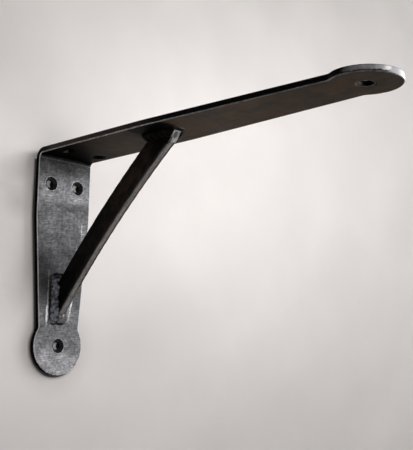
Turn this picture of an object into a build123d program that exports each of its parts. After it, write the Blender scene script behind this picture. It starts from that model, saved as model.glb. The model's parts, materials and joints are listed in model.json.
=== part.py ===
# Shelf bracket welded up from two flat steel bars.
#
# A wide, thin bar is bent square into a strap: the longer leg is the arm that the shelf
# lies on, the shorter leg is the plate that lies against the wall. Each leg narrows to a
# neck and ends in a round pad. A narrow, thick bar stands on edge between the two legs as
# a brace, slightly bowed towards the bend, and a rippled weld bead runs round each of its ends.
#
# Millimetres. +X points out of the wall along the arm, +Y across the bar, +Z up.
# The origin is on the wall face, midway between the upper pair of wall screws.

import os
from math import asin, ceil, degrees, sin, sqrt

from build123d import *

os.makedirs("parts", exist_ok=True)

# strap: the bar
bar_width = 40.0
bar_thickness = 3.4
bend_inner_radius = 3.0
edge_bevel = 0.3  # sharp corners broken with a file all round

# strap: the two legs, measured from the top of the arm or from the wall face
arm_pad_reach = 231.8  # wall face to the centre of the arm's round pad
arm_taper_start = 98.4
plate_pad_drop = 121.7  # top of the arm to the centre of the plate's round pad
plate_taper_start = 42.0
pad_diameter = 35.8
neck_width = 29.4
neck_round = 4.0  # hollow corner where the neck runs into the pad
taper_round = 160.0  # long, soft shoulder where the taper starts

# screw holes, countersunk on the side that faces into the corner
screw_hole_diameter = 4.8
countersink_diameter = 9.0
countersink_angle = 90.0
wall_pair_drop = 21.3  # top of the arm to the upper pair of wall screws
wall_pair_spacing = 20.2
shelf_pair_reach = 21.7  # wall face to the inner pair of shelf screws
shelf_pair_spacing = 24.0

# brace: bar on edge, from the plate to the underside of the arm
brace_width = 14.1
brace_thickness = 5.0
brace_round = 0.5
brace_foot_drop = 94.5  # top of the arm to where the brace's middle line meets the plate
brace_head_reach = 98.6  # wall face to where the brace's middle line meets the arm
brace_bow = 3.4  # rise of the middle line over its straight chord
brace_toe_reach = 106.6  # wall face to the square cut at the tip of the head

# weld beads: a row of overlapping drops down each side of a joint, and one across its closed ends
drop_radius = 4.4  # at the strap's face
drop_shoulder_radius = 3.1
drop_tip_radius = 0.9
drop_shoulder_height = 2.0
drop_height = 3.7
drop_offset = 0.6  # drop's centre out from the side of the brace
drop_pitch = 4.6
drop_scatter = 0.05  # hand-laid: the drops differ in size by up to this share
drop_scatter_turn = 2.4  # radians between one drop and the next in that unevenness
foot_bead_above = 7.2  # bead past the upper edge of the brace, on the plate
foot_bead_below = 2.4  # bead past the lower edge of the brace, on the plate
head_bead_inside = 6.0  # bead past the inner edge of the brace, on the arm
head_bead_outside = 0.4  # bead past the toe of the brace, on the arm

same_size = 0.001  # two lengths or places this near to each other count as one

# derived levels and planes
arm_top = wall_pair_drop
arm_underside = arm_top - bar_thickness
bend_outer_radius = bend_inner_radius + bar_thickness
pad_radius = pad_diameter / 2

arm_plane = Plane.XY.offset(arm_top)
plate_plane = Plane(origin=(0, 0, arm_top), x_dir=(0, 0, -1), z_dir=(1, 0, 0))
plate_front = Plane(origin=(bar_thickness, 0, arm_top), x_dir=(0, 0, -1), z_dir=(1, 0, 0))
arm_below = Plane(origin=(0, 0, arm_underside), x_dir=(1, 0, 0), z_dir=(0, 0, -1))


def draw_leg(plane, taper_start, pad_centre):
    """Outline of one leg: local X runs along the leg, from the bend to the round pad."""
    neck_start = pad_centre - sqrt(pad_radius**2 - (neck_width / 2) ** 2)
    half_outline = [
        (bend_outer_radius, bar_width / 2),
        (taper_start, bar_width / 2),
        (neck_start, neck_width / 2),
        (pad_centre, neck_width / 2),
    ]
    with BuildSketch(plane) as leg:
        with BuildLine():
            Polyline(*half_outline, *[(x, -y) for x, y in reversed(half_outline)], close=True)
        make_face()
        with Locations((pad_centre, 0)):
            Circle(pad_radius)
        fillet(leg.vertices().group_by(Axis.X)[1], taper_round)
        fillet(neck_corners(leg.vertices(), neck_start), neck_round)
    return leg.sketch


def neck_corners(vertices, neck_start):
    """The two corners of a leg's outline at its neck."""
    return vertices.filter_by_position(Axis.X, neck_start - same_size, neck_start + same_size)


def is_seam(edge):
    """True for a straight edge across the bar's width or its thickness, where two faces run on."""
    straight = edge.geom_type == GeomType.LINE
    return straight and any(abs(edge.length - size) < same_size for size in (bar_width, bar_thickness))


# ---- strap -------------------------------------------------------------------------------
with BuildPart() as strap:
    extrude(draw_leg(arm_plane, arm_taper_start, arm_pad_reach), amount=-bar_thickness)
    extrude(draw_leg(plate_plane, plate_taper_start, plate_pad_drop), amount=bar_thickness)

    # the bend, a quarter ring
    with BuildSketch(Plane.XZ) as bend_ring:
        with Locations((bend_outer_radius, arm_top - bend_outer_radius)):
            Circle(bend_outer_radius)
            Circle(bend_inner_radius, mode=Mode.SUBTRACT)
            Rectangle(
                bend_outer_radius,
                bend_outer_radius,
                align=(Align.MAX, Align.MIN),
                mode=Mode.INTERSECT,
            )
    extrude(amount=bar_width / 2, both=True)

    chamfer(strap.edges().filter_by(is_seam, reverse=True), edge_bevel)

    # countersunk screw holes: a pair beside the bend and one in the pad, on each leg
    with Locations(plate_front):
        with Locations(
            (wall_pair_drop, -wall_pair_spacing / 2),
            (wall_pair_drop, wall_pair_spacing / 2),
            (plate_pad_drop, 0),
        ):
            CounterSinkHole(
                screw_hole_diameter / 2,
                countersink_diameter / 2,
                depth=bar_thickness,
                counter_sink_angle=countersink_angle,
            )
    with Locations(arm_below):
        with Locations(
            (shelf_pair_reach, -shelf_pair_spacing / 2),
            (shelf_pair_reach, shelf_pair_spacing / 2),
            (arm_pad_reach, 0),
        ):
            CounterSinkHole(
                screw_hole_diameter / 2,
                countersink_diameter / 2,
                depth=bar_thickness,
                counter_sink_angle=countersink_angle,
            )

# ---- brace -------------------------------------------------------------------------------
# The middle line is an arc through the foot and the head: the bar is a piece of a ring, turned
# about the centre of its bow and trimmed to the plate, to the arm and at the toe. Here the
# vectors hold X and Z.
foot = Vector(bar_thickness, arm_top - brace_foot_drop)
head = Vector(brace_head_reach, arm_underside)
chord = head - foot
bow_radius = (chord.length**2 / 4 + brace_bow**2) / (2 * brace_bow)
crown = Vector(-chord.Y, chord.X).normalized()
bow_centre = (foot + head) / 2 - crown * (bow_radius - brace_bow)
trim_angle = degrees(brace_width / bow_radius)  # spare bar at each end, cut off again
ring_angle = degrees(2 * asin(chord.length / 2 / bow_radius)) + 2 * trim_angle
ring_start = crown.rotate(Axis.Z, ring_angle / 2)
ring_section = Plane(
    origin=(bow_centre.X, 0, bow_centre.Y),
    x_dir=(ring_start.X, 0, ring_start.Y),
    z_dir=(-ring_start.Y, 0, ring_start.X),
)
toe_cut = Plane(origin=(brace_toe_reach, 0, 0), z_dir=(-1, 0, 0))

with BuildPart() as brace:
    with BuildSketch(ring_section):
        with Locations((bow_radius, 0)):
            RectangleRounded(brace_width, brace_thickness, brace_round)
    revolve(axis=Axis(ring_section.origin, (0, 1, 0)), revolution_arc=ring_angle)
    for cut in (plate_front, arm_below, toe_cut):
        split(bisect_by=cut)


# ---- weld beads --------------------------------------------------------------------------
def ring_drop(radius):
    """Depth below the arm's top at which a circle about the bow's centre meets the plate."""
    return arm_top - (bow_centre.Y + sqrt(radius**2 - (bow_centre.X - bar_thickness) ** 2))


def ring_reach(radius):
    """Reach from the wall at which a circle about the bow's centre meets the arm's underside."""
    return bow_centre.X - sqrt(radius**2 - (arm_underside - bow_centre.Y) ** 2)


def lay_drop(along, across, scatter):
    """Adds one drop: a steep skirt and a flatter top, both turned about the drop's own axis."""
    upright = (Align.CENTER, Align.CENTER, Align.MIN)
    top_height = drop_height - drop_shoulder_height
    with Locations((along, across, 0)):
        Cone(drop_radius * scatter, drop_shoulder_radius * scatter, drop_shoulder_height, align=upright)
    with Locations((along, across, drop_shoulder_height)):
        Cone(drop_shoulder_radius * scatter, drop_tip_radius * scatter, top_height, align=upright)


def lay_bead(joint, start, end, closed_ends):
    """Adds the drops of one bead: local X of the joint's plane runs along the bead."""
    first, last = start + drop_radius, end - drop_radius
    gaps = ceil((last - first) / drop_pitch)
    side = brace_thickness / 2 + drop_offset
    for index in range(gaps + 1):
        along = first + (last - first) * index / gaps
        closing = (index == 0 and "start" in closed_ends) or (index == gaps and "end" in closed_ends)
        for across in (-side, 0, side) if closing else (-side, side):
            with Locations(joint):
                lay_drop(along, across, 1 + drop_scatter * sin(drop_scatter_turn * index + across))


with BuildPart() as foot_weld:
    lay_bead(
        plate_front,
        ring_drop(bow_radius + brace_width / 2) - foot_bead_above,
        ring_drop(bow_radius - brace_width / 2) + foot_bead_below,
        closed_ends=("start", "end"),
    )
    add(brace.part, mode=Mode.SUBTRACT)

with BuildPart() as head_weld:
    lay_bead(
        arm_below,
        ring_reach(bow_radius + brace_width / 2) - head_bead_inside,
        brace_toe_reach + head_bead_outside,
        closed_ends=("start",),
    )
    add(brace.part, mode=Mode.SUBTRACT)

# ---- hand over ---------------------------------------------------------------------------
pieces = {"strap": strap, "brace": brace, "foot_weld": foot_weld, "head_weld": head_weld}
for name, piece in pieces.items():
    piece.part.label = name
    export_step(piece.part, f"parts/{name}.step")
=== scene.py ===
# Shelf bracket welded up from flat steel bar, standing out from a pale plastered wall.
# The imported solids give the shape. This script gives the finish of the steel, the rough
# weld metal, the wall, the light and the camera. Sizes in the dictionaries are millimetres.

import json
from math import atan2, cos, radians, sin

import bpy
from mathutils import Matrix, Vector


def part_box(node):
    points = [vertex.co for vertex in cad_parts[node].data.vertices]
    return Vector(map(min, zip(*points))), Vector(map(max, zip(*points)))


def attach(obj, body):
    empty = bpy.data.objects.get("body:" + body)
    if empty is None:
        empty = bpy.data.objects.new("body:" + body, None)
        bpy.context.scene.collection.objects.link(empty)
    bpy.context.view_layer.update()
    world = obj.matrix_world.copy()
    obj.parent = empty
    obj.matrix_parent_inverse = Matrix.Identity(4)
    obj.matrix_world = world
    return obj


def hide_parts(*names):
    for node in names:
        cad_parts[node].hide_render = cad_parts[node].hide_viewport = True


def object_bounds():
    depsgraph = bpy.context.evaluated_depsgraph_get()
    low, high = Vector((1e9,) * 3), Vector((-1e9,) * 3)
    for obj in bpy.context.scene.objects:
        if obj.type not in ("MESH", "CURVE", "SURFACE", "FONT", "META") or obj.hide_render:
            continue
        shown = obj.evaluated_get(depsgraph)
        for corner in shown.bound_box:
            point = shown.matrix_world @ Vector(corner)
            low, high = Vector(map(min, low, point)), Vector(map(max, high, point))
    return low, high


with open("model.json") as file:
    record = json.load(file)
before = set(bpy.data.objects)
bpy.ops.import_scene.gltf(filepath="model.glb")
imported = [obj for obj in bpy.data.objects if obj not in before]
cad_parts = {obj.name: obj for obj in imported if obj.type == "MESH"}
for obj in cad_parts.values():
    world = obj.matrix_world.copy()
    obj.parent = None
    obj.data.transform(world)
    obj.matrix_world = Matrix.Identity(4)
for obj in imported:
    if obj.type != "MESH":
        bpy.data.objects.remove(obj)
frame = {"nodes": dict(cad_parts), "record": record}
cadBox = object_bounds()
mounts = {mount["name"]: mount for mount in frame["record"]["mounts"]}
mm = 0.001
black = (0.0, 0.0, 0.0, 1.0)
noiseSpan = (0.3, 0.7)  # nearly all of a noise lies between these
patchFirm = 1.6  # patches of wear and stain have a small flat middle
mergeReach = 0.001  # loose corners nearer to each other than this become one
cornerSpan = (0.99, 0.90)  # how far a rounded normal leans from the flat one, as the cosine
cornerSamples = 6


def toLinear(hexColour):
    # sRGB hex to the linear colour that the shaders work in
    channels = [int(hexColour[i:i + 2], 16) / 255 for i in (1, 3, 5)]
    return tuple(c / 12.92 if c <= 0.04045 else ((c + 0.055) / 1.055) ** 2.4 for c in channels) + (1.0,)


def toneStops(stops, reach=1.0):
    # grey stops for a ramp, their places in the same unit as its reach
    return [(min(place / reach, 1.0), (share, share, share, 1.0)) for place, share in stops]


def addNode(material, kind, inputs=None, output=0, stops=None, **settings):
    # one node with its settings, its links and, on a ramp, its stops; gives back one of its outputs
    node = material.node_tree.nodes.new(kind)
    for name, value in settings.items():
        setattr(node, name, value)
    for name, value in (inputs or {}).items():
        if isinstance(value, bpy.types.NodeSocket):
            material.node_tree.links.new(value, node.inputs[name])
        else:
            node.inputs[name].default_value = value
    for index, (place, colour) in enumerate(stops or []):
        elements = node.color_ramp.elements
        stop = elements[index] if index < 2 else elements.new(place)
        stop.position, stop.color = place, colour
    return node.outputs[output] if node.outputs else node


def newMaterial(name):
    material = bpy.data.materials.new(name)
    material.use_nodes = True
    material.node_tree.nodes.clear()
    return material


def finishMaterial(material, surface):
    addNode(material, "ShaderNodeOutputMaterial", {"Surface": surface})
    return material


def addSpot(material, place, centre, size, turn=(0, 0, 0), firm=1.0):
    # soft oval patch, 1 at its middle and 0 at its rim; a higher firm gives it a flatter middle
    local = addNode(material, "ShaderNodeMapping", {
        "Vector": place,
        "Location": Vector(centre) * mm,
        "Rotation": turn,
        "Scale": Vector(size) * mm,
    }, vector_type="TEXTURE")
    fade = addNode(material, "ShaderNodeTexGradient", {"Vector": local}, output=1, gradient_type="SPHERICAL")
    return addNode(material, "ShaderNodeMath", {0: fade, 1: firm}, operation="MULTIPLY", use_clamp=True)


def addPattern(material, place, size, detail, roughness, turn=(0, 0, 0)):
    # unevenness of a real size; where the size is given three ways, it is drawn out along the longest
    scale = 1.0
    if isinstance(size, tuple):
        place = addNode(material, "ShaderNodeMapping", {
            "Vector": place, "Rotation": turn, "Scale": Vector(size) * mm}, vector_type="TEXTURE")
    else:
        scale = 1 / (size * mm)
    return addNode(material, "ShaderNodeTexNoise", {
        "Vector": place, "Scale": scale, "Detail": detail, "Roughness": roughness})


def addSwing(material, noise, amount):
    # a share that swings with a noise, up to the amount above and below 1
    return addNode(material, "ShaderNodeMapRange", {
        "Value": noise, "From Min": noiseSpan[0], "From Max": noiseSpan[1],
        "To Min": 1 - amount, "To Max": 1 + amount})


def addWander(material, place, pattern, amount):
    # places shifted unevenly by up to the amount, which gives patches a ragged outline
    shift = addPattern(material, place, *pattern).node.outputs[1]
    shift = addNode(material, "ShaderNodeVectorMath", {0: shift, 1: (0.5, 0.5, 0.5)}, operation="SUBTRACT")
    shift = addNode(material, "ShaderNodeVectorMath", {0: shift, "Scale": 2 * amount * mm}, operation="SCALE")
    return addNode(material, "ShaderNodeVectorMath", {0: place, 1: shift}, operation="ADD")


def dress(pieceName, material):
    for slot in frame["nodes"][pieceName].material_slots:
        slot.material = material


# wall and floor
stageSizes = {
    "wallWidth": 4000,
    "wallHeight": 3000,
    "floorDrop": 420,  # below the wall screws
    "floorReach": 3000,
    "wallGap": 0.05,  # keeps the wall's surface apart from the back of the plate
    "openWithin": 0.3,  # rays that start nearer than this pass through the wall
}
paintLook = {
    "colour": "#f4f0ee",
    "floorColour": "#eeeae8",
    "floorSeen": 0.55,  # the floor lies nearer to the lamps, so it is seen this much darker
    # and so are the wall and the floor right beside the key lamp: middle, half size and amount
    "byLamp": ((280, 1280, -50), (1050, 860, 1050), -0.82),
    "brightest": (0, 51.0, 20.5),  # where the pool of light on the wall is centred
    "poolSize": (870, 870, 492),
    "poolTurn": 0.255,
    # light of the pool, out from its middle as a share of its size
    "fallOff": [(0, 0.94), (0.1, 0.962), (0.2, 0.818), (0.3, 0.682), (0.4, 0.553), (0.5, 0.462),
                (0.625, 0.39), (1.0, 0.23)],
    # lighter and darker places left by the lamps, painted into the wall: middle, half size and amount
    "paintedLightPatches": [
        ((-34, 6), (22, 11), 0.34),
        ((-41, -64), (16, 22), 0.15),
        ((-32, -15), (12, 12), -0.22),
        ((62, -96), (95, 70), -0.10),
        ((-52, 78), (60, 60), -0.10),
    ],
    "patchDepth": 10,
    "mottle": (55.0, 3.0, 0.5),  # size, detail and roughness, as in every pattern here
    "mottleSwing": 0.028,
    "holeShadeShift": 2.8,  # the painted shade behind each screw hole lies a little off the middle of the hole
    # painted shade in and round each of them, out from its middle
    "holeShade": [(0, 0.03), (1.9, 0.03), (2.2, 0.72), (4.6, 0.78), (4.8, 1.0)],
    # and painted shade under the plate's pad, out from its middle
    "padShadeDrop": 1.0,
    "padShade": [(0, 1.0), (9.0, 1.0), (11.0, 0.12), (18.0, 0.12), (18.6, 0.6), (20.0, 0.88), (26.0, 0.95),
                 (32.0, 1.0)],
    # painted contact shade along the sides of the plate: its half width at two heights, its lowest and
    # highest place, and shade across its edge, from "edgeInset" inside it
    "edgeRun": ((-20.7, 20.0), (-90.2, 14.7)),
    "edgeEnds": (-92.0, 14.6),
    "edgeInset": 4.0,
    "edgeShade": [(0, 1.0), (1.5, 1.0), (2.0, 0.15), (4.8, 0.15), (5.3, 0.6), (6.0, 0.92), (7.4, 1.0)],
}


def seenShare(material, place, share):
    # less light where the paint is seen or mirrored, but all of it in what the paint throws on the steel
    rays = addNode(material, "ShaderNodeLightPath").node.outputs
    seen = rays["Is Camera Ray"]
    for name in ("Is Glossy Ray", "Is Transmission Ray"):
        seen = addNode(material, "ShaderNodeMath", {0: seen, 1: rays[name]}, operation="MAXIMUM")
    middle, size, amount = paintLook["byLamp"]
    glare = addSpot(material, place, middle, size, firm=patchFirm)
    glare = addNode(material, "ShaderNodeMath", {
        0: glare, 1: amount * share, 2: share}, operation="MULTIPLY_ADD")
    return addNode(material, "ShaderNodeMapRange", {"Value": seen, "To Min": 1.0, "To Max": glare})


def makeWallMaterial():
    # matt wall paint on plaster: no gloss, with a painted pool of light that falls off away from the bracket
    look = paintLook
    wall = newMaterial("mattWallPaint")
    place = addNode(wall, "ShaderNodeTexCoord", output="Object")
    pool = addNode(wall, "ShaderNodeMapping", {
        "Vector": place,
        "Location": Vector(look["brightest"]) * mm,
        "Rotation": (look["poolTurn"], 0, 0),
        "Scale": Vector(look["poolSize"]) * mm,
    }, vector_type="TEXTURE")
    away = addNode(wall, "ShaderNodeVectorMath", {0: pool}, output=1, operation="LENGTH")
    light = addNode(wall, "ShaderNodeValToRGB", {"Fac": away}, stops=toneStops(look["fallOff"]))
    light.node.color_ramp.interpolation = "CARDINAL"
    mottle = addSwing(wall, addPattern(wall, place, *look["mottle"]), look["mottleSwing"])
    light = addNode(wall, "ShaderNodeMath", {0: light, 1: mottle}, operation="MULTIPLY")
    # painted patches of light and shade on the wall
    for (across, up), (wide, high), amount in look["paintedLightPatches"]:
        patch = addSpot(wall, place, (0, across, up), (look["patchDepth"], wide, high))
        patch = addNode(wall, "ShaderNodeMath", {0: patch, 1: amount, 2: 1.0}, operation="MULTIPLY_ADD")
        light = addNode(wall, "ShaderNodeMath", {0: light, 1: patch}, operation="MULTIPLY")

    # painted shade on the wall behind the screw holes, and painted shade round the plate's pad
    pair = mounts["wall_screws"]["dims"]["spacing_x_mm"] / 2 * mm
    pad = mounts["wall_pad_screw"]["pos_m"][2]
    shift = look["holeShadeShift"] * mm
    shadedHoles = ((-pair, 0), (pair, 0), (0, pad))
    shades = [((0, across + shift, up), look["holeShade"]) for across, up in shadedHoles]
    shades.append(((0, 0, pad - look["padShadeDrop"] * mm), look["padShade"]))
    for middle, stops in shades:
        reach = stops[-1][0]
        away = addNode(wall, "ShaderNodeVectorMath", {0: place, 1: middle}, output=1, operation="DISTANCE")
        away = addNode(wall, "ShaderNodeMath", {0: away, 1: reach * mm}, operation="DIVIDE")
        shade = addNode(wall, "ShaderNodeValToRGB", {"Fac": away}, stops=toneStops(stops, reach))
        light = addNode(wall, "ShaderNodeMath", {0: light, 1: shade}, operation="MULTIPLY")

    # painted contact shade along the plate's sides, which come together down the taper
    py, pz = addNode(wall, "ShaderNodeSeparateXYZ", {0: place}).node.outputs[1:]
    (upperZ, upperHalf), (lowerZ, lowerHalf) = look["edgeRun"]
    half = addNode(wall, "ShaderNodeMapRange", {
        "Value": pz, "From Min": lowerZ * mm, "From Max": upperZ * mm,
        "To Min": lowerHalf * mm, "To Max": upperHalf * mm})
    across = addNode(wall, "ShaderNodeMath", {0: py}, operation="ABSOLUTE")
    past = addNode(wall, "ShaderNodeMath", {0: across, 1: half}, operation="SUBTRACT")
    inset, reach = look["edgeInset"], look["edgeShade"][-1][0]
    past = addNode(wall, "ShaderNodeMapRange", {
        "Value": past, "From Min": -inset * mm, "From Max": (reach - inset) * mm})
    shade = addNode(wall, "ShaderNodeValToRGB", {"Fac": past}, stops=toneStops(look["edgeShade"], reach))
    low, high = look["edgeEnds"]
    beside = addNode(wall, "ShaderNodeMath", {
        0: pz, 1: (low + high) / 2 * mm, 2: (high - low) / 2 * mm}, operation="COMPARE")
    beyond = addNode(wall, "ShaderNodeMath", {0: 1.0, 1: beside}, operation="SUBTRACT")
    shade = addNode(wall, "ShaderNodeMath", {0: shade, 1: beyond}, operation="MAXIMUM")
    light = addNode(wall, "ShaderNodeMath", {0: light, 1: shade}, operation="MULTIPLY")

    seen = seenShare(wall, place, 1.0)
    light = addNode(wall, "ShaderNodeMath", {0: light, 1: seen}, operation="MULTIPLY")
    colour = addNode(wall, "ShaderNodeMix", {
        "Factor": light, 6: black, 7: toLinear(look["colour"])}, output=2, data_type="RGBA")
    paint = addNode(wall, "ShaderNodeBsdfDiffuse", {"Color": colour})
    clear = addNode(wall, "ShaderNodeBsdfTransparent")
    # from behind, the wall gives a clear sight of the bracket, and it lets light reach the plate's back
    behind = addNode(wall, "ShaderNodeNewGeometry", output="Backfacing")
    rayLength = addNode(wall, "ShaderNodeLightPath", output="Ray Length")
    near = addNode(wall, "ShaderNodeMath", {
        0: rayLength, 1: stageSizes["openWithin"] * mm}, operation="LESS_THAN")
    opened = addNode(wall, "ShaderNodeMath", {0: behind, 1: near}, operation="MAXIMUM")
    return finishMaterial(wall, addNode(wall, "ShaderNodeMixShader", {0: opened, 1: paint, 2: clear}))


def makeFloorMaterial():
    # the same matt paint without the pool of light, so that it sends light up under the arm
    look = paintLook
    floor = newMaterial("mattFloorPaint")
    place = addNode(floor, "ShaderNodeTexCoord", output="Object")
    mottle = addPattern(floor, place, *look["mottle"])
    colour = addNode(floor, "ShaderNodeMix", {
        "Factor": mottle, 6: toLinear(look["floorColour"]), 7: toLinear(look["colour"])},
        output=2, data_type="RGBA")
    seen = seenShare(floor, place, look["floorSeen"])
    colour = addNode(floor, "ShaderNodeMix", {
        "Factor": seen, 6: black, 7: colour}, output=2, data_type="RGBA")
    return finishMaterial(floor, addNode(floor, "ShaderNodeBsdfDiffuse", {"Color": colour}))


def makePlane(name, corners, material):
    bpy.ops.mesh.primitive_plane_add(size=1)
    plane = bpy.context.object
    plane.name = name
    for vertex, corner in zip(plane.data.vertices, corners):
        vertex.co = corner
    plane.data.materials.append(material)


def makeStage():
    halfWidth = stageSizes["wallWidth"] / 2 * mm
    sides = (-halfWidth, halfWidth)
    low = -stageSizes["floorDrop"] * mm
    high = low + stageSizes["wallHeight"] * mm
    reach = stageSizes["floorReach"] * mm
    back = -stageSizes["wallGap"] * mm
    # the corners go round so that the wall faces out (+X) and the floor faces up
    makePlane("wall", [(back, side, up) for up in (low, high) for side in sides], makeWallMaterial())
    makePlane("floor", [(out, side, low) for side in sides for out in (back, reach)], makeFloorMaterial())


makeStage()
print("stage: wall and floor")

# steel
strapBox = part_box("strap")
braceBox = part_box("brace")
armTop = strapBox[1].z
armUnder = braceBox[1].z  # the brace's head stands against the underside of the arm
plateFront = braceBox[0].x  # and its foot on the front of the plate
toeReach = braceBox[1].x


def addEdgeWear(material, reach):
    # 1 on the broken corners of the bar and just beside them, 0 on its flat faces
    rounded = addNode(material, "ShaderNodeBevel", {"Radius": reach * mm}, samples=cornerSamples)
    flat = addNode(material, "ShaderNodeNewGeometry", output="Normal")
    same = addNode(material, "ShaderNodeVectorMath", {0: rounded, 1: flat}, output=1, operation="DOT_PRODUCT")
    start, end = cornerSpan
    return addNode(material, "ShaderNodeMapRange", {"Value": same, "From Min": start, "From Max": end})


strapLook = {
    "scale": "#1b1c1e",  # black mill scale
    # scale of the sides, with a painted sheen of reflected wall light along the arm, out from the wall
    "sideScaleAndSheen": [(0, "#0a0a0b"), (7, "#0d0d0d"), (18, "#38332f"), (82, "#302c29"), (118, "#060607"),
                  (250, "#060607")],
    "underBrown": "#493b2d",  # thin scale under the arm, brown in patches and grey between them
    "underGrey": "#3b3631",
    "coveredScale": "#2b2c2f",
    "coveredRust": "#3d2c22",
    "bare": "#cfcfd3",  # steel rubbed bare
    "polishedAndHighlight": "#f4f4f6",  # corners, and the painted highlight at the brightest part of the rim
    "scaleRoughness": 0.62,
    "bareRoughness": 0.40,
    "gloss": 0.03,  # scale is nearly matt
    "bump": (0.25, 0.05),  # strength and height of the grain
    # unevenness: size, detail and roughness
    "cloud": (9.0, 4.0, 0.6),
    "grain": (2.0, 4.0, 0.7),
    "streak": ((3.0, 2.4, 0.6), 3.0, 0.6),
    "brushed": ((3.0, 8.0, 0.40), 2.0, 0.6, (0.06, 0, 0)),  # long scratches of the last brushing
    "patchy": ((26.0, 9.0, 9.0), 6.0, 0.7),
    "ragged": (2.2, 3.0, 0.6),
    "raggedBy": 1.0,
    "wearSwings": {"cloud": 0.25, "grain": 0.52, "streak": 0.25, "brushed": 0.42},
    "underSwings": {"cloud": 0.2, "grain": 0.14},
    # a surface is on the plate, under the arm or on a side by the slope of its normal
    "plateSlope": (0.8, 0.95),
    "underSlope": (-0.6, -0.69),
    "sideSlope": (0.5, 0.3),
    "coneSlope": (0.707, 0.03),
    "coveredSlope": (0.75, 0.95),
    "bevelSlope": (0.62, 0.22),
    "bevelSideways": 0.4,
    # share of the scale that is rubbed off the plate's front, down from the top of the arm
    "plateWear": [(0, 0.02), (6, 0.06), (10, 0.11), (15, 0.20), (22, 0.31), (29, 0.34), (35, 0.21),
                  (45, 0.22), (60, 0.17), (72, 0.11), (85, 0.14), (96, 0.18), (103, 0.24), (121, 0.26),
                  (130, 0.35), (140, 0.36)],
    "coneWear": 0.035,
    "foldLine": (5.8, 0.22, 0.10),  # down from the top of the arm, half its height and amount
    "edgeReach": 0.7,
    "outlineFrom": 14.35,  # across from the middle: no screw hole reaches so far out
    "armBevel": (1, 4, 0.2),  # bevels fade from the plate out along the arm
    "armEdge": (100, 140, 0.95, 0.42),  # and bright corners fade towards its end
    # ovals: middle, half size, turn and firmness
    "padRim": ((236, 2, 20), (17, 21, 8), (0, 0, 0), 6.0),
    # painted highlight at the brightest part of the rim
    "rimHighlight": ((247.5, -8.5, 20), (6, 4.2, 8), (0, 0, 0), 4.0),
    "rimFoot": (0.7, 1.2, 0.08),  # dark line along the rim's lower edge
    "rimFootFrom": (-8, -4),  # it ends on the near side
    "rimShineFade": (-7, -4, 0.95, 0.55),  # painted reflection: where the shine drops across the rim
    # the shelf screw holes by the bend keep their scale
    "plainHoles": ((21.7, 0, 17.9), (17, 19.4, 6), (0, 0, 0), 6.0),
    # lighter and darker patches of the plate's front, worn patches and, along the foot weld, painted
    # highlights on its toes and painted shade under its edges: middle, half size, turn about X and amount
    "plateRubsAndShading": [
        ((17, -38), (3, 24), 0.0, 0.07),
        ((14.5, -28), (0.6, 9), 0.0, 0.22),
        ((11.5, -41), (0.5, 8), 0.1, 0.16),
        ((-9.3, -70), (0.8, 18), 0.0, 0.5),
        ((-9.5, -82), (1.1, 7), 0.0, 0.75),
        ((8.4, -76.5), (0.7, 8), -0.19, 0.5),
        ((-13, -54), (12, 17), 0.0, -0.05),
        ((-1, -87), (6.5, 0.8), 0.04, -0.7),
        ((-7.6, -74), (0.7, 14), 0.0, -0.5),
        ((-14, -5), (6, 5), 0.0, 0.10),
        ((12, -8.5), (7, 4), 0.0, 0.09),
        ((4, 9), (9, 3.5), -0.2, -0.06),
        ((-15, 11), (5, 3), 0.0, 0.06),
        ((6, -13), (12, 5), 0.15, -0.06),
        ((-9, -26), (9, 6), 0.3, 0.06),
        ((3, -43), (8, 5), 0.0, -0.05),
        ((-12, -94), (8, 9), 0.0, -0.06),
        ((5, -108), (12, 5), 0.1, 0.07),
        ((8, -104), (10, 11), 0.0, -0.03),
        ((-8, -107), (7, 8), 0.0, 0.08),
    ],
    "plateSpotDepth": 2,
    # tone of the scale under the arm, dark by the bend in painted shade, from the bend out and a little
    # across
    "underShadeLean": (1.0, 0.8, 0.0),
    "underShadeTone": [(14, 0.0), (20, 0.04), (26, 0.12), (32, 0.28), (40, 0.42), (50, 0.58), (60, 0.74),
                  (110, 0.8), (140, 0.96), (160, 0.9), (185, 0.74), (205, 0.68), (250, 0.72)],
    "brownSpan": (0.4, 0.6),
    "rustSpan": (0.15, 0.6),
    # darker patches there, heat tint and painted shade by the head weld, painted shade in its crater and in
    # two screw holes: middle, half size and amount
    "underStainsAndShade": [
        ((99, -13), (16, 17), -2.6),
        ((88, -8), (16, 12), -0.35),
        ((108.6, -1.0), (2.7, 3.6), -2.4),
        ((21.5, 12), (6.0, 4.6), -0.5),
        ((232.6, 1.8), (3.9, 3.7), -3.0),
    ],
    "underStainAndShadeDepth": 5,
    # and small painted highlights, where the walls of two screw holes and a thin rim beyond the brace's toe
    # catch the light
    "underGlints": [
        ((228.6, 0.2), (0.9, 1.8), 0.22),
        ((17.0, -10.4), (2.6, 1.4), 0.10),
        ((111.9, -1.4), (0.7, 2.6), 0.24),
    ],
    "underGlintDepth": 2,
}


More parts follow.
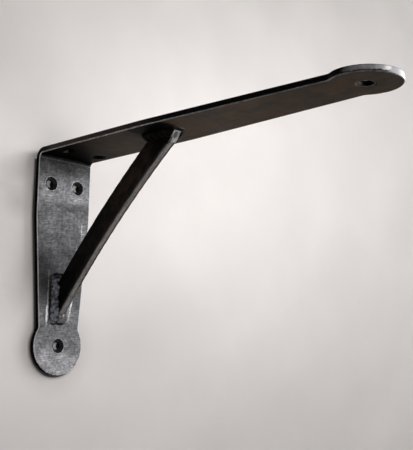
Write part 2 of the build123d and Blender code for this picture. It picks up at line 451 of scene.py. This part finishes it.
def makeStrapMaterial():
    # hot-rolled bar: black iron oxide scale that a brush has rubbed thin, steel showing through, with painted
    # shade, highlights and sheen in places
    look = strapLook
    steel = newMaterial("rubbedMillScale")
    place = addNode(steel, "ShaderNodeTexCoord", output="Object")
    normal = addNode(steel, "ShaderNodeTexCoord", output="Normal")
    px, py, pz = addNode(steel, "ShaderNodeSeparateXYZ", {0: place}).node.outputs
    nx, ny, nz = addNode(steel, "ShaderNodeSeparateXYZ", {0: normal}).node.outputs

    # which face of the bar a point is on
    start, end = look["plateSlope"]
    onPlate = addNode(steel, "ShaderNodeMapRange", {"Value": nx, "From Min": start, "From Max": end})
    nearWall = addNode(steel, "ShaderNodeMath", {0: px, 1: plateFront + mm}, operation="LESS_THAN")
    onPlate = addNode(steel, "ShaderNodeMath", {0: onPlate, 1: nearWall}, operation="MULTIPLY")
    start, end = look["underSlope"]
    under = addNode(steel, "ShaderNodeMapRange", {"Value": nz, "From Min": start, "From Max": end})
    level = addNode(steel, "ShaderNodeMath", {0: nz}, operation="ABSOLUTE")
    start, end = look["sideSlope"]
    upright = addNode(steel, "ShaderNodeMapRange", {"Value": level, "From Min": start, "From Max": end})

    # unevenness: clouds, grain, fine streaks and scratches of the brush; ragged outlines for the patches
    noises = {name: addPattern(steel, place, *look[name]) for name in ("cloud", "grain", "streak", "brushed")}
    swings = [addSwing(steel, noises[name], amount) for name, amount in look["wearSwings"].items()]
    uneven = swings[0]
    for swing in swings[1:]:
        uneven = addNode(steel, "ShaderNodeMath", {0: uneven, 1: swing}, operation="MULTIPLY")
    ragged = addWander(steel, place, look["ragged"], look["raggedBy"])

    # wear of the plate: slow change down its height, patches with painted light and shade by the foot weld,
    # and the fold line
    span = look["plateWear"][-1][0]
    height = addNode(steel, "ShaderNodeMapRange", {
        "Value": pz, "From Min": armTop, "From Max": armTop - span * mm})
    wear = addNode(steel, "ShaderNodeValToRGB", {"Fac": height}, stops=toneStops(look["plateWear"], span))
    for (across, up), (wide, high), turn, amount in look["plateRubsAndShading"]:
        spot = addSpot(steel, ragged, (plateFront / mm, across, up), (look["plateSpotDepth"], wide, high),
                       turn=(turn, 0, 0), firm=patchFirm)
        wear = addNode(steel, "ShaderNodeMath", {0: spot, 1: amount, 2: wear}, operation="MULTIPLY_ADD")
    foldDrop, foldHalf, foldShine = look["foldLine"]
    fold = addNode(steel, "ShaderNodeMath", {
        0: pz, 1: armTop - foldDrop * mm, 2: foldHalf * mm}, operation="COMPARE")
    wear = addNode(steel, "ShaderNodeMath", {0: fold, 1: foldShine, 2: wear}, operation="MULTIPLY_ADD")
    wear = addNode(steel, "ShaderNodeMath", {0: wear, 1: onPlate}, operation="MULTIPLY")

    # the cones of the screw holes are less worn than the face round them
    outline = addNode(steel, "ShaderNodeMath", {0: py}, operation="ABSOLUTE")
    outline = addNode(steel, "ShaderNodeMath", {
        0: outline, 1: look["outlineFrom"] * mm}, operation="GREATER_THAN")
    slope, spread = look["coneSlope"]
    cone = addNode(steel, "ShaderNodeMath", {0: nx, 1: slope, 2: spread}, operation="COMPARE")
    cone = addNode(steel, "ShaderNodeMath", {0: cone, 1: nearWall}, operation="MULTIPLY")
    cone = addNode(steel, "ShaderNodeMath", {0: cone, 1: outline}, operation="GREATER_THAN")
    wear = addNode(steel, "ShaderNodeMath", {0: cone, 1: look["coneWear"], 2: wear}, operation="MULTIPLY_ADD")
    wear = addNode(steel, "ShaderNodeMath", {0: wear, 1: uneven}, operation="MULTIPLY", use_clamp=True)

    # rim of the arm's pad, ground bare but for a dark line along its foot; a painted highlight at its outer
    # end and a painted reflection that fades across it
    ground = addSpot(steel, ragged, *look["padRim"])
    ground = addNode(steel, "ShaderNodeMath", {0: ground, 1: upright}, operation="MULTIPLY")
    ry, rz = addNode(steel, "ShaderNodeSeparateXYZ", {0: ragged}).node.outputs[1:]
    start, end, least = look["rimFoot"]
    foot = addNode(steel, "ShaderNodeMapRange", {
        "Value": rz, "From Min": armUnder + start * mm, "From Max": armUnder + end * mm, "To Min": least})
    start, end = look["rimFootFrom"]
    beyond = addNode(steel, "ShaderNodeMapRange", {"Value": ry, "From Min": start * mm, "From Max": end * mm})
    foot = addNode(steel, "ShaderNodeMath", {0: foot, 1: beyond}, operation="MAXIMUM")
    ground = addNode(steel, "ShaderNodeMath", {0: ground, 1: foot}, operation="MULTIPLY")
    rimGlint = addSpot(steel, ragged, *look["rimHighlight"])
    rimGlint = addNode(steel, "ShaderNodeMath", {0: rimGlint, 1: ground}, operation="MULTIPLY")
    start, end, most, least = look["rimShineFade"]
    shineFade = addNode(steel, "ShaderNodeMapRange", {
        "Value": ry, "From Min": start * mm, "From Max": end * mm, "To Min": most, "To Max": least})
    shineFade = addNode(steel, "ShaderNodeMath", {0: ground, 1: shineFade}, operation="MULTIPLY")
    wear = addNode(steel, "ShaderNodeMath", {0: wear, 1: shineFade}, operation="MAXIMUM")

    # corners rubbed bright, but not those against the wall and the shelf; of the bevels only those
    # round the outline, on the side that faces into the corner
    edge = addEdgeWear(steel, look["edgeReach"])
    edge = addNode(steel, "ShaderNodeMath", {0: edge, 1: uneven}, operation="MULTIPLY")
    inward = addNode(steel, "ShaderNodeMath", {0: nz, 1: -1.0}, operation="MULTIPLY")
    inward = addNode(steel, "ShaderNodeMix", {"Factor": nearWall, 2: inward, 3: nx})
    slope, spread = look["bevelSlope"]
    bevel = addNode(steel, "ShaderNodeMath", {0: inward, 1: slope, 2: spread}, operation="COMPARE")
    sideways = addNode(steel, "ShaderNodeMath", {0: ny}, operation="ABSOLUTE")
    sideways = addNode(steel, "ShaderNodeMath", {
        0: sideways, 1: look["bevelSideways"]}, operation="GREATER_THAN")
    start, end, least = look["armBevel"]
    alongArm = addNode(steel, "ShaderNodeMapRange", {
        "Value": px, "From Min": plateFront + start * mm, "From Max": plateFront + end * mm,
        "To Min": 1.0, "To Max": least})
    for share in (sideways, outline, alongArm):
        bevel = addNode(steel, "ShaderNodeMath", {0: bevel, 1: share}, operation="MULTIPLY")
    edge = addNode(steel, "ShaderNodeMath", {0: edge, 1: bevel}, operation="MAXIMUM")
    start, end, most, least = look["armEdge"]
    faint = addNode(steel, "ShaderNodeMapRange", {
        "Value": px, "From Min": start * mm, "From Max": end * mm, "To Min": most, "To Max": least})
    edge = addNode(steel, "ShaderNodeMath", {0: edge, 1: faint}, operation="MULTIPLY")
    fromTop = addNode(steel, "ShaderNodeMath", {0: armTop, 1: pz}, operation="SUBTRACT")
    fromBack = addNode(steel, "ShaderNodeMath", {0: px, 1: fromTop}, operation="MINIMUM")
    inside = addNode(steel, "ShaderNodeMath", {0: fromBack, 1: plateFront / 2}, operation="GREATER_THAN")
    inside = addNode(steel, "ShaderNodeMath", {0: inside, 1: ground}, operation="MAXIMUM")
    edge = addNode(steel, "ShaderNodeMath", {0: edge, 1: inside}, operation="MULTIPLY")
    plain = addSpot(steel, place, *look["plainHoles"])
    plain = addNode(steel, "ShaderNodeMath", {0: 1.0, 1: plain}, operation="SUBTRACT")
    edge = addNode(steel, "ShaderNodeMath", {0: edge, 1: plain}, operation="MULTIPLY", use_clamp=True)
    wear = addNode(steel, "ShaderNodeMath", {0: wear, 1: edge}, operation="MAXIMUM")
    # small painted highlights under the arm, drawn as bare steel
    for (out, across), (deep, wide), amount in look["underGlints"]:
        spot = addSpot(steel, ragged, (out, across, armUnder / mm), (deep, wide, look["underGlintDepth"]),
                       firm=patchFirm)
        wear = addNode(steel, "ShaderNodeMath", {
            0: spot, 1: amount, 2: wear}, operation="MULTIPLY_ADD", use_clamp=True)

    # underside of the arm: brown and grey scale, darker towards the bend in painted shade, with stains and
    # painted shade
    lean = addNode(steel, "ShaderNodeVectorMath", {
        0: place, 1: look["underShadeLean"]}, output=1, operation="DOT_PRODUCT")
    reach = look["underShadeTone"][-1][0]
    lean = addNode(steel, "ShaderNodeMath", {0: lean, 1: reach * mm}, operation="DIVIDE")
    tone = addNode(steel, "ShaderNodeValToRGB", {"Fac": lean}, stops=toneStops(look["underShadeTone"], reach))
    for name, amount in look["underSwings"].items():
        swing = addSwing(steel, noises[name], amount)
        tone = addNode(steel, "ShaderNodeMath", {0: tone, 1: swing}, operation="MULTIPLY")
    # stains and painted shade under the arm
    for (out, across), (deep, wide), amount in look["underStainsAndShade"]:
        spot = addSpot(steel, ragged, (out, across, armUnder / mm), (deep, wide, look["underStainAndShadeDepth"]),
                       firm=patchFirm)
        tone = addNode(steel, "ShaderNodeMath", {0: spot, 1: amount, 2: tone}, operation="MULTIPLY_ADD")
    tone = addNode(steel, "ShaderNodeMath", {0: tone, 1: 0.0}, operation="MAXIMUM")
    patchy = addPattern(steel, place, *look["patchy"])
    start, end = look["brownSpan"]
    patchy = addNode(steel, "ShaderNodeMapRange", {"Value": patchy, "From Min": start, "From Max": end})
    brown = addNode(steel, "ShaderNodeMix", {
        "Factor": patchy, 6: toLinear(look["underGrey"]), 7: toLinear(look["underBrown"])},
        output=2, data_type="RGBA")
    brown = addNode(steel, "ShaderNodeMix", {
        "Factor": tone, 6: black, 7: brown}, output=2, data_type="RGBA", clamp_factor=False)

    # the bar's sides: black down the plate, a painted dull sheen along the arm, black again further out
    reach = look["sideScaleAndSheen"][-1][0]
    outward = addNode(steel, "ShaderNodeMath", {0: px, 1: reach * mm}, operation="DIVIDE")
    sideScaleAndSheen = addNode(steel, "ShaderNodeValToRGB", {"Fac": outward}, stops=[
        (out / reach, toLinear(colour)) for out, colour in look["sideScaleAndSheen"]])
    scale = addNode(steel, "ShaderNodeMix", {
        "Factor": onPlate, 6: sideScaleAndSheen, 7: toLinear(look["scale"])}, output=2, data_type="RGBA")
    scale = addNode(steel, "ShaderNodeMix", {
        "Factor": under, 6: scale, 7: brown}, output=2, data_type="RGBA")

    # the side that the shelf and the wall cover: scale whole, clouded with rust
    covered = addNode(steel, "ShaderNodeMath", {0: nz, 1: nx}, operation="SUBTRACT")
    start, end = look["coveredSlope"]
    covered = addNode(steel, "ShaderNodeMapRange", {"Value": covered, "From Min": start, "From Max": end})
    rusty = addNode(steel, "ShaderNodeMath", {0: patchy, 1: noises["cloud"]}, operation="MULTIPLY")
    start, end = look["rustSpan"]
    rusty = addNode(steel, "ShaderNodeMapRange", {"Value": rusty, "From Min": start, "From Max": end})
    rusty = addNode(steel, "ShaderNodeMix", {
        "Factor": rusty, 6: toLinear(look["coveredScale"]), 7: toLinear(look["coveredRust"])},
        output=2, data_type="RGBA")
    rusty = addNode(steel, "ShaderNodeMix", {
        "Factor": uneven, 6: black, 7: rusty}, output=2, data_type="RGBA", clamp_factor=False)
    scale = addNode(steel, "ShaderNodeMix", {
        "Factor": covered, 6: scale, 7: rusty}, output=2, data_type="RGBA")

    shiny = addNode(steel, "ShaderNodeMath", {0: edge, 1: rimGlint}, operation="MAXIMUM", use_clamp=True)
    bare = addNode(steel, "ShaderNodeMix", {
        "Factor": shiny, 6: toLinear(look["bare"]), 7: toLinear(look["polishedAndHighlight"])},
        output=2, data_type="RGBA")
    colour = addNode(steel, "ShaderNodeMix", {"Factor": wear, 6: scale, 7: bare}, output=2, data_type="RGBA")
    roughness = addNode(steel, "ShaderNodeMapRange", {
        "Value": wear, "To Min": look["scaleRoughness"], "To Max": look["bareRoughness"]})
    strength, deep = look["bump"]
    bump = addNode(steel, "ShaderNodeBump", {
        "Strength": strength, "Distance": deep * mm, "Height": noises["grain"]})
    skin = addNode(steel, "ShaderNodeBsdfPrincipled", {
        "Base Color": colour,
        "Metallic": wear,
        "Roughness": roughness,
        "Specular IOR Level": look["gloss"],
        "Normal": bump,
    })
    return finishMaterial(steel, skin)


braceLook = {
    "scale": "#0a0908",
    "rust": "#1e1612",
    "narrowScale": "#73706e",
    "farScale": "#342d2a",
    "cut": "#cfcfd1",
    "rubbed": "#c4c4c6",
    "roughness": 0.6,
    "gloss": 0.04,
    "bump": (0.3, 0.05),
    "cloud": (7.0, 5.0, 0.65),
    "grain": (1.2, 3.0, 0.65),
    "rolled": ((9.0, 1.1, 1.1), 4.0, 0.65),  # streaks left along the bar by the rolls
    "grainSwing": 0.38,
    "rolledSwing": 0.4,
    "smudgeSpan": (0.95, 1.2),
    "edgeReach": 0.6,
    "edgeShine": (60, 104, 0.08, 0.6),  # rubbed corners grow brighter out from the wall
    "footGrey": (24, 10, 0.15),  # towards the wall, scale gives way to the rubbed grey of the foot
    # the toe is cut off on a slope: drop and setback of the cut's lower end from its upper end
    "toeCut": (5.8, 4.0),
    "toeNear": 0.03,
    "toeMiddle": (0.4, -0.2),  # share of the cut's drop and setback, and place across
    "toeMiddleSize": (3.0, 1.9, 3.0),
    "toeMiddleFirm": 2.5,
    "toeShine": (0.72, 0.18),  # at its rim and its middle
    "toeSlag": ((102.2, -3.3, 13.4), (4.5, 2.4, 4.6), (0, 0, 0), 3.0),
    "smoothAngle": 12,
    # tone of the wide and the narrow sides, out from the wall
    "wideTone": [(0, 0.8), (24, 0.9), (45, 1.4), (65, 2.0), (84, 2.0), (93, 0.3), (107, 0.15)],
    "narrowTone": [(0, 0.80), (30, 0.92), (60, 1.05), (90, 1.1), (98, 1.35), (107, 1.4)],
    "narrowSlope": (0.9, 0.4),
    "farHalf": (0.2, 1.6),  # across the narrow sides, where the far half begins
    "nearEdge": (-2.5, -1.5, 0.4),  # the narrow sides are darker beside their near corner
    # the lower corner was rolled round, and a faint lighter line, a painted highlight of that rounding,
    # follows it on the wide side
    "bowCentre": (491.14, -487.60),
    "lowerRadius": 632.97,
    "cornerGlintLine": [(0.9, 0.0), (1.3, 1.0), (2.4, 0.0)],  # in from the lower side
    "cornerGlintColour": "#1f1d1b",
}


def makeBraceMaterial():
    # bar on edge: scale whole on the wide sides, rubbed thin on the narrow ones, sawn bare at the toe
    look = braceLook
    steel = newMaterial("blackMillScale")
    place = addNode(steel, "ShaderNodeTexCoord", output="Object")
    normal = addNode(steel, "ShaderNodeTexCoord", output="Normal")
    px, py, pz = addNode(steel, "ShaderNodeSeparateXYZ", {0: place}).node.outputs
    ny, nz = addNode(steel, "ShaderNodeSeparateXYZ", {0: normal}).node.outputs[1:]
    cloud = addPattern(steel, place, *look["cloud"])
    grain = addPattern(steel, place, *look["grain"])
    rise = atan2(braceBox[1].z - braceBox[0].z, braceBox[1].x - braceBox[0].x)
    rolled = addPattern(steel, place, *look["rolled"], turn=(0, -rise, 0))
    speckle = addSwing(steel, grain, look["grainSwing"])
    streak = addSwing(steel, rolled, look["rolledSwing"])
    tone = addNode(steel, "ShaderNodeMath", {0: speckle, 1: streak}, operation="MULTIPLY")

    # wide sides: black, with brown smudges drawn out along the bar
    smudge = addNode(steel, "ShaderNodeMath", {0: cloud, 1: rolled}, operation="ADD")
    start, end = look["smudgeSpan"]
    smudge = addNode(steel, "ShaderNodeMapRange", {"Value": smudge, "From Min": start, "From Max": end})
    colour = addNode(steel, "ShaderNodeMix", {
        "Factor": smudge, 6: toLinear(look["scale"]), 7: toLinear(look["rust"])},
        output=2, data_type="RGBA")
    reach = addNode(steel, "ShaderNodeMath", {0: px, 1: toeReach}, operation="DIVIDE")
    wideTone, narrowTone = [
        addNode(steel, "ShaderNodeValToRGB", {"Fac": reach}, stops=toneStops(look[key], toeReach / mm))
        for key in ("wideTone", "narrowTone")]
    colour = addNode(steel, "ShaderNodeMix", {
        "Factor": wideTone, 6: black, 7: colour}, output=2, data_type="RGBA", clamp_factor=False)
    # painted highlight along the rounded lower corner
    centreX, centreZ = look["bowCentre"]
    flatPlace = addNode(steel, "ShaderNodeCombineXYZ", {0: px, 2: pz})
    inward = addNode(steel, "ShaderNodeVectorMath", {
        0: flatPlace, 1: (centreX * mm, 0, centreZ * mm)}, output=1, operation="DISTANCE")
    lineEnd = look["cornerGlintLine"][-1][0]
    inward = addNode(steel, "ShaderNodeMapRange", {
        "Value": inward, "From Min": look["lowerRadius"] * mm,
        "From Max": (look["lowerRadius"] + lineEnd) * mm})
    line = addNode(steel, "ShaderNodeValToRGB", {"Fac": inward}, stops=toneStops(look["cornerGlintLine"], lineEnd))
    colour = addNode(steel, "ShaderNodeMix", {
        "Factor": line, 6: colour, 7: toLinear(look["cornerGlintColour"])}, output=2, data_type="RGBA")

    # narrow sides: thin grey scale on the near half, dark on the far half
    across = addNode(steel, "ShaderNodeMath", {0: ny}, operation="ABSOLUTE")
    start, end = look["narrowSlope"]
    narrow = addNode(steel, "ShaderNodeMapRange", {"Value": across, "From Min": start, "From Max": end})
    start, end = look["farHalf"]
    farHalf = addNode(steel, "ShaderNodeMapRange", {
        "Value": py, "From Min": start * mm, "From Max": end * mm})
    thin = addNode(steel, "ShaderNodeMix", {
        "Factor": farHalf, 6: toLinear(look["narrowScale"]), 7: toLinear(look["farScale"])},
        output=2, data_type="RGBA")
    start, end, least = look["nearEdge"]
    nearEdge = addNode(steel, "ShaderNodeMapRange", {
        "Value": py, "From Min": start * mm, "From Max": end * mm, "To Min": least})
    thinTone = addNode(steel, "ShaderNodeMath", {0: tone, 1: narrowTone}, operation="MULTIPLY")
    thinTone = addNode(steel, "ShaderNodeMath", {0: thinTone, 1: nearEdge}, operation="MULTIPLY")
    thin = addNode(steel, "ShaderNodeMix", {
        "Factor": thinTone, 6: black, 7: thin}, output=2, data_type="RGBA", clamp_factor=False)
    colour = addNode(steel, "ShaderNodeMix", {
        "Factor": narrow, 6: colour, 7: thin}, output=2, data_type="RGBA")

    # the foot rubbed grey with the plate
    start, end, most = look["footGrey"]
    foot = addNode(steel, "ShaderNodeMapRange", {
        "Value": px, "From Min": start * mm, "From Max": end * mm, "To Max": most})
    foot = addNode(steel, "ShaderNodeMath", {0: foot, 1: narrow}, operation="MULTIPLY")

    # sawn toe, brighter round its rim; weld slag covers its near lower corner
    drop, setback = look["toeCut"]
    toe = addNode(steel, "ShaderNodeVectorMath", {0: place, 1: (toeReach, 0, armUnder)}, operation="SUBTRACT")
    toe = addNode(steel, "ShaderNodeVectorMath", {
        0: toe, 1: Vector((drop, 0, -setback)).normalized()}, output=1, operation="DOT_PRODUCT")
    toe = addNode(steel, "ShaderNodeMath", {0: toe, 1: 0.0, 2: look["toeNear"] * mm}, operation="COMPARE")
    share, aside = look["toeMiddle"]
    centre = (toeReach / mm - setback * share, aside, armUnder / mm - drop * share)
    middle = addSpot(steel, place, centre, look["toeMiddleSize"], firm=look["toeMiddleFirm"])
    rimShine, middleShine = look["toeShine"]
    rim = addNode(steel, "ShaderNodeMapRange", {"Value": middle, "To Min": rimShine, "To Max": middleShine})
    bareRim = addNode(steel, "ShaderNodeMath", {0: toe, 1: rim}, operation="MULTIPLY")
    slag = addSpot(steel, place, *look["toeSlag"])
    clean = addNode(steel, "ShaderNodeMath", {0: 1.0, 1: slag}, operation="SUBTRACT")
    dark = addNode(steel, "ShaderNodeMath", {0: toe, 1: slag}, operation="MAXIMUM")
    colour = addNode(steel, "ShaderNodeMix", {
        "Factor": dark, 6: colour, 7: toLinear(look["scale"])}, output=2, data_type="RGBA")
    bareToe = addNode(steel, "ShaderNodeMath", {0: bareRim, 1: clean}, operation="MULTIPLY")

    # rubbed corners of the lower side
    edge = addEdgeWear(steel, look["edgeReach"])
    start, end, least, most = look["edgeShine"]
    outward = addNode(steel, "ShaderNodeMapRange", {
        "Value": px, "From Min": start * mm, "From Max": end * mm, "To Min": least, "To Max": most})
    lower = addNode(steel, "ShaderNodeMath", {0: nz, 1: 0.0}, operation="LESS_THAN")
    edge = addNode(steel, "ShaderNodeMath", {0: edge, 1: outward}, operation="MULTIPLY")
    edge = addNode(steel, "ShaderNodeMath", {0: edge, 1: lower}, operation="MULTIPLY")
    bare = addNode(steel, "ShaderNodeMath", {0: bareToe, 1: edge}, operation="MAXIMUM")
    bare = addNode(steel, "ShaderNodeMath", {0: bare, 1: foot}, operation="MAXIMUM")
    bare = addNode(steel, "ShaderNodeMath", {0: bare, 1: tone}, operation="MULTIPLY", use_clamp=True)
    steelColour = addNode(steel, "ShaderNodeMix", {
        "Factor": bareToe, 6: toLinear(look["rubbed"]), 7: toLinear(look["cut"])},
        output=2, data_type="RGBA")
    colour = addNode(steel, "ShaderNodeMix", {
        "Factor": bare, 6: colour, 7: steelColour}, output=2, data_type="RGBA")
    strength, deep = look["bump"]
    bump = addNode(steel, "ShaderNodeBump", {"Strength": strength, "Distance": deep * mm, "Height": grain})
    skin = addNode(steel, "ShaderNodeBsdfPrincipled", {
        "Base Color": colour,
        "Metallic": bare,
        "Roughness": look["roughness"],
        "Specular IOR Level": look["gloss"],
        "Normal": bump,
    })
    return finishMaterial(steel, skin)


def copyNode(nodeName, suffix, material):
    # a copy of a node with its loose triangles joined up, left in edit mode
    bpy.ops.object.select_all(action="DESELECT")
    node = frame["nodes"][nodeName]
    node.select_set(True)
    bpy.context.view_layer.objects.active = node
    bpy.ops.object.duplicate()
    piece = bpy.context.object
    piece.name = nodeName + suffix
    piece.data.materials.clear()
    piece.data.materials.append(material)
    bpy.ops.object.mode_set(mode="EDIT")
    bpy.ops.mesh.select_all(action="SELECT")
    bpy.ops.mesh.remove_doubles(threshold=mergeReach * mm)
    return piece


def makeBrace():
    # the brace's solid, with its toe cut back on a slope
    piece = copyNode("brace", "_bar", makeBraceMaterial())
    drop, setback = braceLook["toeCut"]
    cutNormal = Vector((drop, 0, -setback)).normalized()
    bpy.ops.mesh.bisect(plane_co=(toeReach, 0, armUnder), plane_no=cutNormal, use_fill=True, clear_outer=True)
    bpy.ops.object.mode_set(mode="OBJECT")
    bpy.ops.mesh.customdata_custom_splitnormals_clear()
    bpy.ops.object.shade_smooth_by_angle(angle=radians(braceLook["smoothAngle"]))
    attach(piece, "root")
    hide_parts("brace")


dress("strap", makeStrapMaterial())
makeBrace()
print("steel: strap and brace")

# weld
weldLook = {
    # material of each bead and the shine of its metal; the head bead has none and is painted dark, partly
    # burnt metal and partly painted shade
    "beads": {"foot_weld": ("slaggedWeld", 0.36), "head_weld": ("burntShadedWeld", 0.0)},
    "slag": "#060607",
    "burnt": "#1d1814",
    "metal": "#bcc0cc",
    "filedMetal": "#c9c9cb",
    "roughness": 0.5,
    "gloss": 0.04,
    "bump": (0.5, 0.1),
    "grain": (0.7, 3.0, 0.6),
    "grainSwing": 0.45,
    "burntSpan": (0.5, 0.68),
    "ragged": (2.6, 3.0, 0.55),
    "raggedBy": 2.8,  # how far the slag's edge wanders
    "thin": (2.6, 4.0, 0.6),
    "thinSpan": (0.38, 0.60, 0.15, 1.75),
    # smooth toe of the foot's bead, filed down to the plate and lit in a painted highlight: middle, half
    # size, turn and firmness
    "filed": ((5, 3.0, -83.5), (5, 6.5, 9.5), (0, 0, 0), 4.0),
    "filedShine": 0.27,
    "filedShadeSlope": (0.3, 0.8, 0.25),  # painted shade: less of it on what faces sideways
    "slagByBrace": (3.1, 4.4),  # from the brace's middle plane
    # dark along the bead's outer edge and across its top: slag with painted shade
    "slagAndShadeByPlate": (7.6, 7.1),
    "slagAndShadeTop": (-57.0, -58.5),
    # shape of the bead
    "voxel": 0.28,
    "meltTurns": 18,
    "lumpSize": 2.4,
    "swell": 0.6,
}


def makeWeldMaterial(name, shine):
    # rough weld metal: blue-grey skin with black slag and painted shade along its edges, filed bare and
    # painted brighter at the foot's toe
    look = weldLook
    weld = newMaterial(name)
    place = addNode(weld, "ShaderNodeTexCoord", output="Object")
    normal = addNode(weld, "ShaderNodeTexCoord", output="Normal")
    ny = addNode(weld, "ShaderNodeSeparateXYZ", {0: normal}, output=1)
    grain = addPattern(weld, place, *look["grain"])
    ragged = addWander(weld, place, look["ragged"], look["raggedBy"])
    py, pz = addNode(weld, "ShaderNodeSeparateXYZ", {0: ragged}).node.outputs[1:]
    out = addNode(weld, "ShaderNodeMath", {0: py}, operation="ABSOLUTE")
    start, end = look["slagByBrace"]
    metal = addNode(weld, "ShaderNodeMapRange", {
        "Value": out, "From Min": start * mm, "From Max": end * mm, "To Max": shine})
    for value, key in ((out, "slagAndShadeByPlate"), (pz, "slagAndShadeTop")):
        start, end = look[key]
        fade = addNode(weld, "ShaderNodeMapRange", {
            "Value": value, "From Min": start * mm, "From Max": end * mm})
        metal = addNode(weld, "ShaderNodeMath", {0: metal, 1: fade}, operation="MULTIPLY")

    # the skin is thin in places, so that dark iron shows
    thin = addPattern(weld, place, *look["thin"])
    start, end, least, most = look["thinSpan"]
    thin = addNode(weld, "ShaderNodeMapRange", {
        "Value": thin, "From Min": start, "From Max": end, "To Min": least, "To Max": most})
    metal = addNode(weld, "ShaderNodeMath", {0: metal, 1: thin}, operation="MULTIPLY")
    filed = addSpot(weld, ragged, *look["filed"])
    # painted shade on the parts of the toe that face sideways
    start, end, least = look["filedShadeSlope"]
    steep = addNode(weld, "ShaderNodeMapRange", {
        "Value": ny, "From Min": start, "From Max": end, "To Min": 1.0, "To Max": least})
    filed = addNode(weld, "ShaderNodeMath", {0: filed, 1: steep}, operation="MULTIPLY")
    filedShare = addNode(weld, "ShaderNodeMath", {0: filed, 1: look["filedShine"]}, operation="MULTIPLY")
    metal = addNode(weld, "ShaderNodeMath", {0: metal, 1: filedShare}, operation="MAXIMUM")
    speckle = addSwing(weld, grain, look["grainSwing"])
    metal = addNode(weld, "ShaderNodeMath", {0: metal, 1: speckle}, operation="MULTIPLY", use_clamp=True)
    start, end = look["burntSpan"]
    burnt = addNode(weld, "ShaderNodeMapRange", {"Value": grain, "From Min": start, "From Max": end})
    dark = addNode(weld, "ShaderNodeMix", {
        "Factor": burnt, 6: toLinear(look["slag"]), 7: toLinear(look["burnt"])},
        output=2, data_type="RGBA")
    bright = addNode(weld, "ShaderNodeMix", {
        "Factor": filed, 6: toLinear(look["metal"]), 7: toLinear(look["filedMetal"])},
        output=2, data_type="RGBA")
    colour = addNode(weld, "ShaderNodeMix", {"Factor": metal, 6: dark, 7: bright}, output=2, data_type="RGBA")
    strength, deep = look["bump"]
    bump = addNode(weld, "ShaderNodeBump", {"Strength": strength, "Distance": deep * mm, "Height": grain})
    skin = addNode(weld, "ShaderNodeBsdfPrincipled", {
        "Base Color": colour,
        "Metallic": metal,
        "Roughness": look["roughness"],
        "Specular IOR Level": look["gloss"],
        "Normal": bump,
    })
    return finishMaterial(weld, skin)


def makeWeld(nodeName, material):
    # the bead's solid, its drops run together and its skin left uneven
    look = weldLook
    bead = copyNode(nodeName, "_bead", material)
    bpy.ops.object.mode_set(mode="OBJECT")
    remesh = bead.modifiers.new("remesh", "REMESH")
    remesh.mode = "VOXEL"
    remesh.voxel_size = look["voxel"] * mm
    remesh.use_smooth_shade = True
    melt = bead.modifiers.new("melt", "SMOOTH")
    melt.iterations = look["meltTurns"]
    lump = bpy.data.textures.new(nodeName + "Lumps", "CLOUDS")
    lump.noise_scale = look["lumpSize"] * mm
    swell = bead.modifiers.new("swell", "DISPLACE")
    swell.texture = lump
    swell.texture_coords = "LOCAL"
    swell.strength = look["swell"] * mm
    swell.mid_level = 0.5
    for modifier in list(bead.modifiers):
        bpy.ops.object.modifier_apply(modifier=modifier.name)
    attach(bead, "root")
    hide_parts(nodeName)


for nodeName, (materialName, shine) in weldLook["beads"].items():
    makeWeld(nodeName, makeWeldMaterial(materialName, shine))
print("weld: two beads")

# light: places in metres, power in watts
lampSetup = {
    "key": {"place": (0.28, 1.3, 0.2), "size": 0.9, "power": 27.5},
    "front": {"place": (1.5, 0.9, 0.6), "size": 0.8, "power": 10.5},
    "back": {"place": (-0.9, -0.5, 0.7), "size": 0.8, "power": 14},  # only the back of the plate sees it
}
lampAim = (0.08, 0, -0.04)
airSetup = {"colour": "#f4f2f0", "strength": 0.255}


def makeLamp(name, setup):
    bpy.ops.object.light_add(type="AREA", location=setup["place"])
    lamp = bpy.context.object
    lamp.name = name
    lamp.data.shape = "SQUARE"
    lamp.data.size = setup["size"]
    lamp.data.energy = setup["power"]
    aim = Vector(lampAim) - Vector(setup["place"])
    lamp.rotation_mode = "QUATERNION"
    lamp.rotation_quaternion = aim.to_track_quat("-Z", "Y")


def makeWorld():
    world = bpy.data.worlds.new("studioAir")
    bpy.context.scene.world = world
    world.use_nodes = True
    background = world.node_tree.nodes["Background"]
    background.inputs["Color"].default_value = toLinear(airSetup["colour"])
    background.inputs["Strength"].default_value = airSetup["strength"]


for lampName, setup in lampSetup.items():
    makeLamp(lampName, setup)
makeWorld()
print("light: three lamps and the air")

# camera
cameraSetup = {
    "azimuth": 44.81,
    "elevation": -9.15,
    "roll": 0.99,
    "distance": 480.2,
    "aimOffset": (4.1, 1.4, 11.0),  # from the middle of the bracket's box
    "lens": 72.37,
    "sensor": 36.0,
    "nearest": 10,  # nothing closer than this is drawn
}


def makeCamera():
    low, high = cadBox
    aim = (low + high) / 2 + Vector(cameraSetup["aimOffset"]) * mm
    azimuth, elevation, roll = (radians(cameraSetup[key]) for key in ("azimuth", "elevation", "roll"))
    back = Vector((sin(azimuth) * cos(elevation), -cos(azimuth) * cos(elevation), sin(elevation)))
    level = Vector((0, 0, 1)).cross(back).normalized()
    upright = back.cross(level)
    right = level * cos(roll) + upright * sin(roll)
    up = upright * cos(roll) - level * sin(roll)
    bpy.ops.object.camera_add()
    camera = bpy.context.object
    camera.matrix_world = Matrix.Translation(aim + back * cameraSetup["distance"] * mm) @ Matrix(
        (right, up, back)).transposed().to_4x4()
    camera.data.lens = cameraSetup["lens"]
    camera.data.sensor_width = cameraSetup["sensor"]
    camera.data.clip_start = cameraSetup["nearest"] * mm
    bpy.context.scene.camera = camera


makeCamera()
print("camera: set")

bpy.context.scene.view_settings.view_transform = "Standard"
